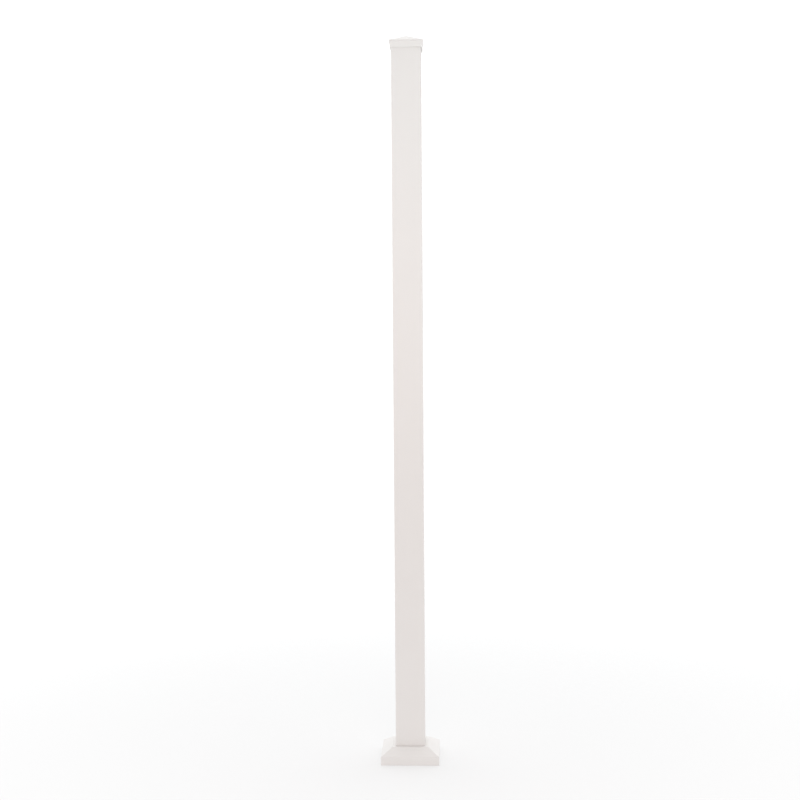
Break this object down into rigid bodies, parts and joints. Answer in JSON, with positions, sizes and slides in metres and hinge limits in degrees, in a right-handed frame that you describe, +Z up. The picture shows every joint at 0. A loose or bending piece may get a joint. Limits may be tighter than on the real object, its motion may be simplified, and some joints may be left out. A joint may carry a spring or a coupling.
{
  "type": "privacy screen post",
  "caption": "Tall square hollow metal post for a privacy screen, with a low pyramid cap and a flared split cover over its bolted foot plate, in a white powder coat.",
  "frame": {"origin": "on the ground, under the post's axis, in the plane of the foot plate's underside", "axes": "+Z up the post, -Y to the front, +X to the right seen from the front"},
  "size_m": [0.1508, 0.1508, 1.8796],
  "materials": {
    "post_coat": "satin white powder coat on extruded aluminium",
    "cap_coat": "satin white powder coat on cast aluminium",
    "cover_coat": "satin white powder coat on cast aluminium"
  },
  "bodies": {
    "root": {"post": "post_coat", "post_cap": "cap_coat", "base_cover_front": "cover_coat", "base_cover_rear": "cover_coat"}
  },
  "joints": []
}
